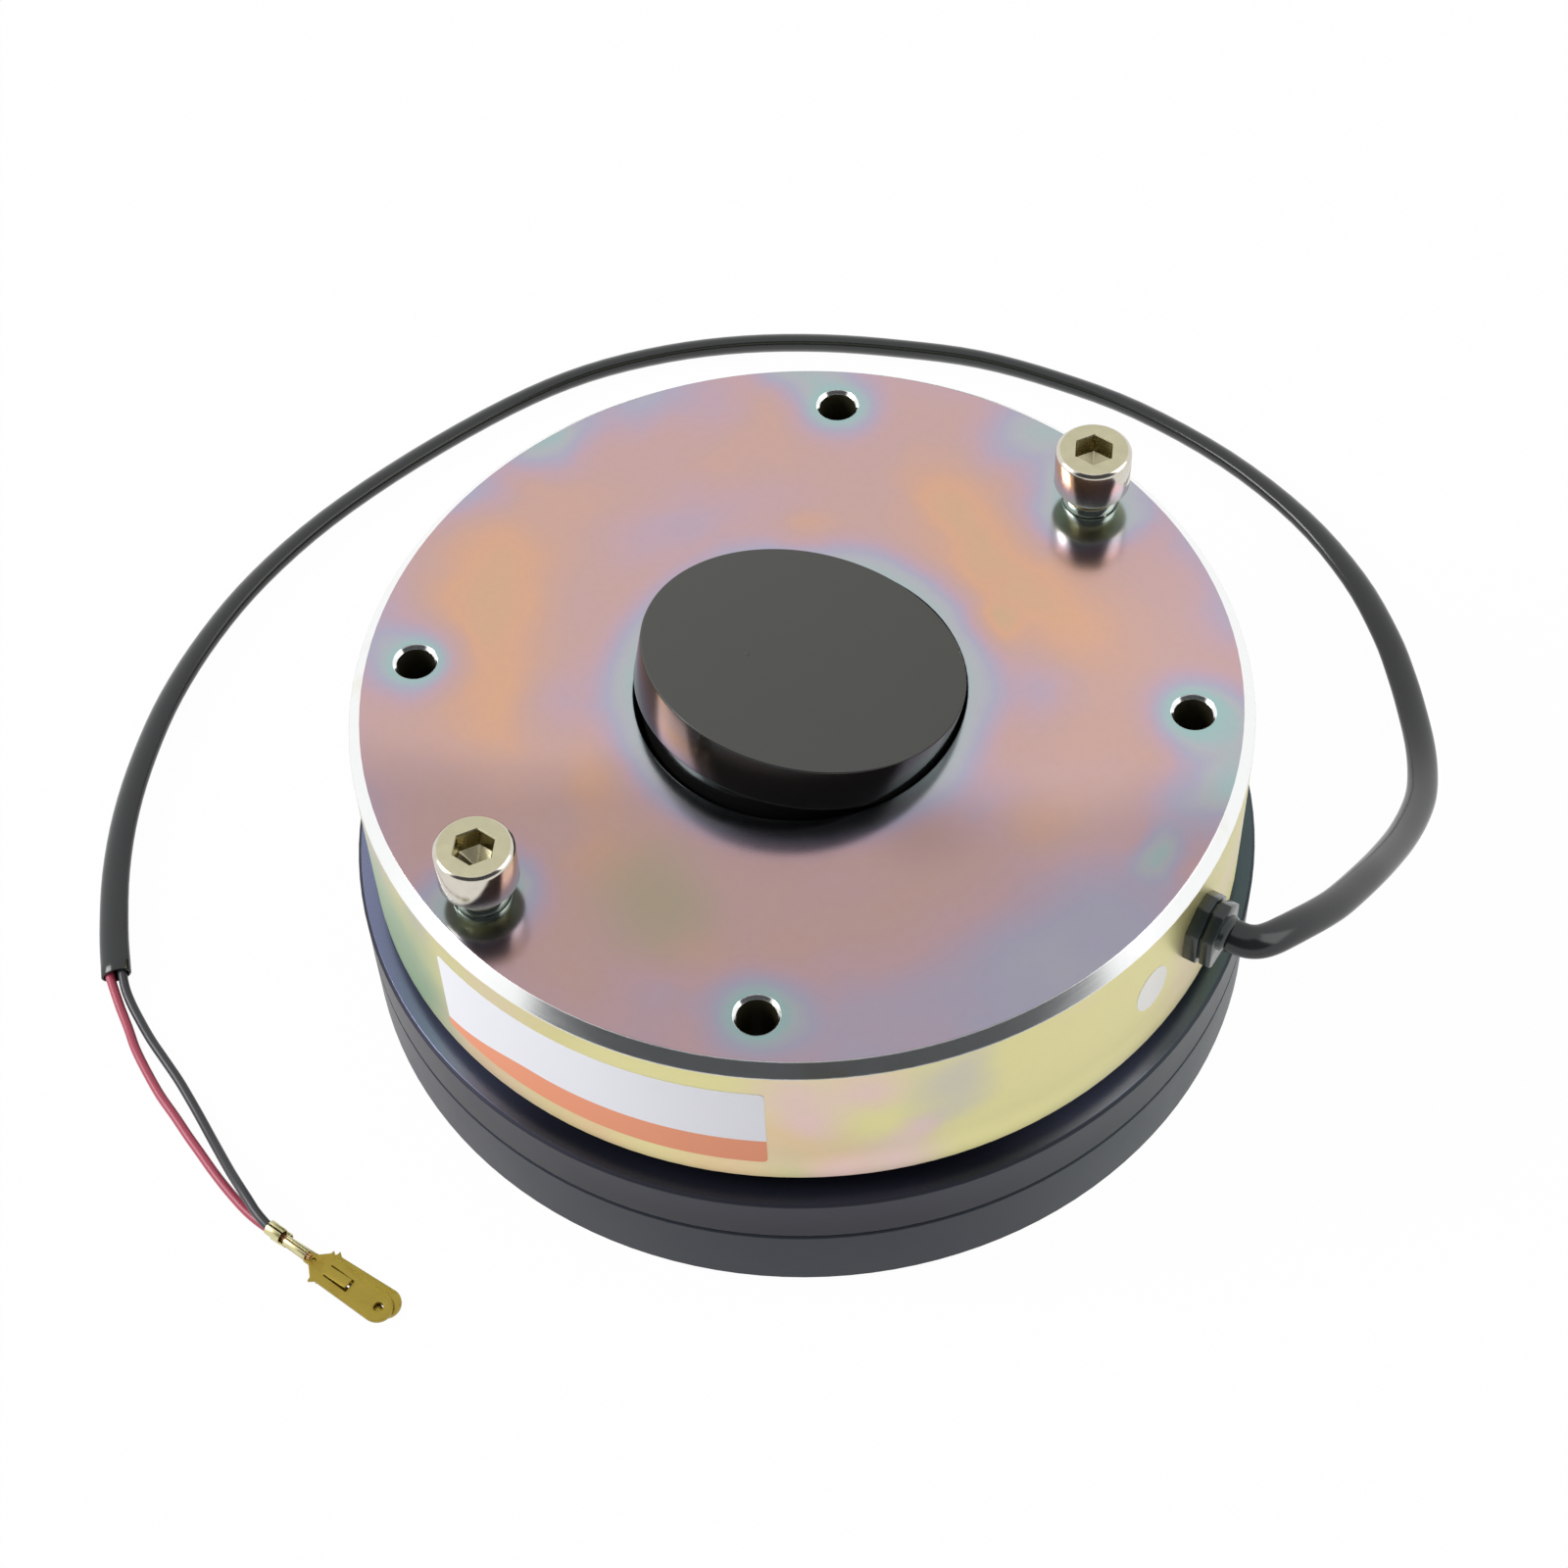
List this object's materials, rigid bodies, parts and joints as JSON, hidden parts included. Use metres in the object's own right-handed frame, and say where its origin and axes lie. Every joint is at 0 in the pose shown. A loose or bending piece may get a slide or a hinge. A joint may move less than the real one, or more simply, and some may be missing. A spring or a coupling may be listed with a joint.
{
  "type": "electric parking brake",
  "caption": "Spring-applied electromagnetic parking brake: a plated magnet body over an armature plate, friction disc and flange, with two release screws, a centre cap and a two-wire cable.",
  "frame": {"origin": "on the shaft axis, in the face of the friction flange that bolts to the motor", "axes": "+Z along the shaft axis, from the mounting face to the magnet body's top plate; +X through a fixing hole, with the cable entry 26 degrees clockwise from it"},
  "size_m": [0.2428, 0.2321, 0.0732],
  "materials": {
    "yellow_zinc": "yellow passivated zinc plate, iridescent",
    "bobbin_nylon": "moulded",
    "copper": "enamelled copper wire",
    "resin": "cast resin",
    "spring_steel": "oil-tempered wire",
    "flange_iron": "phosphated and oiled, satin",
    "sleeve_steel": "zinc plated",
    "black_steel": "black oxide",
    "cap_plastic": "matte top, polished edge",
    "nickel": "nickel plated, slightly golden",
    "relief_plastic": "moulded nylon",
    "sheath_pvc": "soft satin PVC",
    "red_pvc": "satin PVC",
    "black_pvc": "satin PVC",
    "brass": "pressed strip",
    "armature_steel": "ground faces, phosphated",
    "carrier_alloy": "machined",
    "lining": "pressed friction lining with fibres",
    "hub_steel": "machined",
    "ring_rubber": "moulded",
    "label_film": "bare printed film"
  },
  "bodies": {
    "housing": {"magnet_body": "yellow_zinc", "coil_bobbin": "bobbin_nylon", "coil_winding": "copper", "potting_resin": "resin", "brake_springs": "spring_steel", "friction_flange": "flange_iron", "spacer_sleeves": "sleeve_steel", "assembly_screws": "black_steel", "centre_cap": "cap_plastic", "lock_washers": "nickel", "strain_relief": "relief_plastic", "cable_sheath": "sheath_pvc", "red_wire": "red_pvc", "black_wire": "black_pvc", "red_wire_terminal": "brass", "black_wire_terminal": "brass"},
    "armature": {"armature_plate": "armature_steel"},
    "hub": {"rotor_hub": "hub_steel", "hub_ring": "ring_rubber"},
    "disc": {"disc_carrier": "carrier_alloy", "lining_upper": "lining", "lining_lower": "lining"},
    "left_screw": {"release_screw_left": "nickel"},
    "right_screw": {"release_screw_right": "nickel"}
  },
  "joints": [
    {"name": "armature_slide", "type": "slide", "parent": "housing", "child": "armature", "axis": [0, 0, 1], "range_m": [0, 0.0004], "stiffness_N_per_m": 300, "springref_m": -0.01, "deforming": ["brake_springs"]},
    {"name": "hub_spin", "type": "hinge", "parent": "housing", "child": "hub", "pos_m": [0, 0, 0], "axis": [0, 0, 1], "continuous": true},
    {"name": "disc_float", "type": "slide", "parent": "hub", "child": "disc", "axis": [0, 0, 1], "range_m": [0, 0.0002]},
    {"name": "left_screw_turn", "type": "hinge", "parent": "armature", "child": "left_screw", "pos_m": [-0.04579, -0.04579, 0], "axis": [0, 0, 1], "range_deg": [-619, 0]},
    {"name": "right_screw_turn", "type": "hinge", "parent": "armature", "child": "right_screw", "pos_m": [0.04579, 0.04579, 0], "axis": [0, 0, 1], "range_deg": [-619, 0]}
  ],
  "couplings": [
    {"joint": "disc_float", "follows": "armature_slide", "ratio": 0.5}
  ]
}
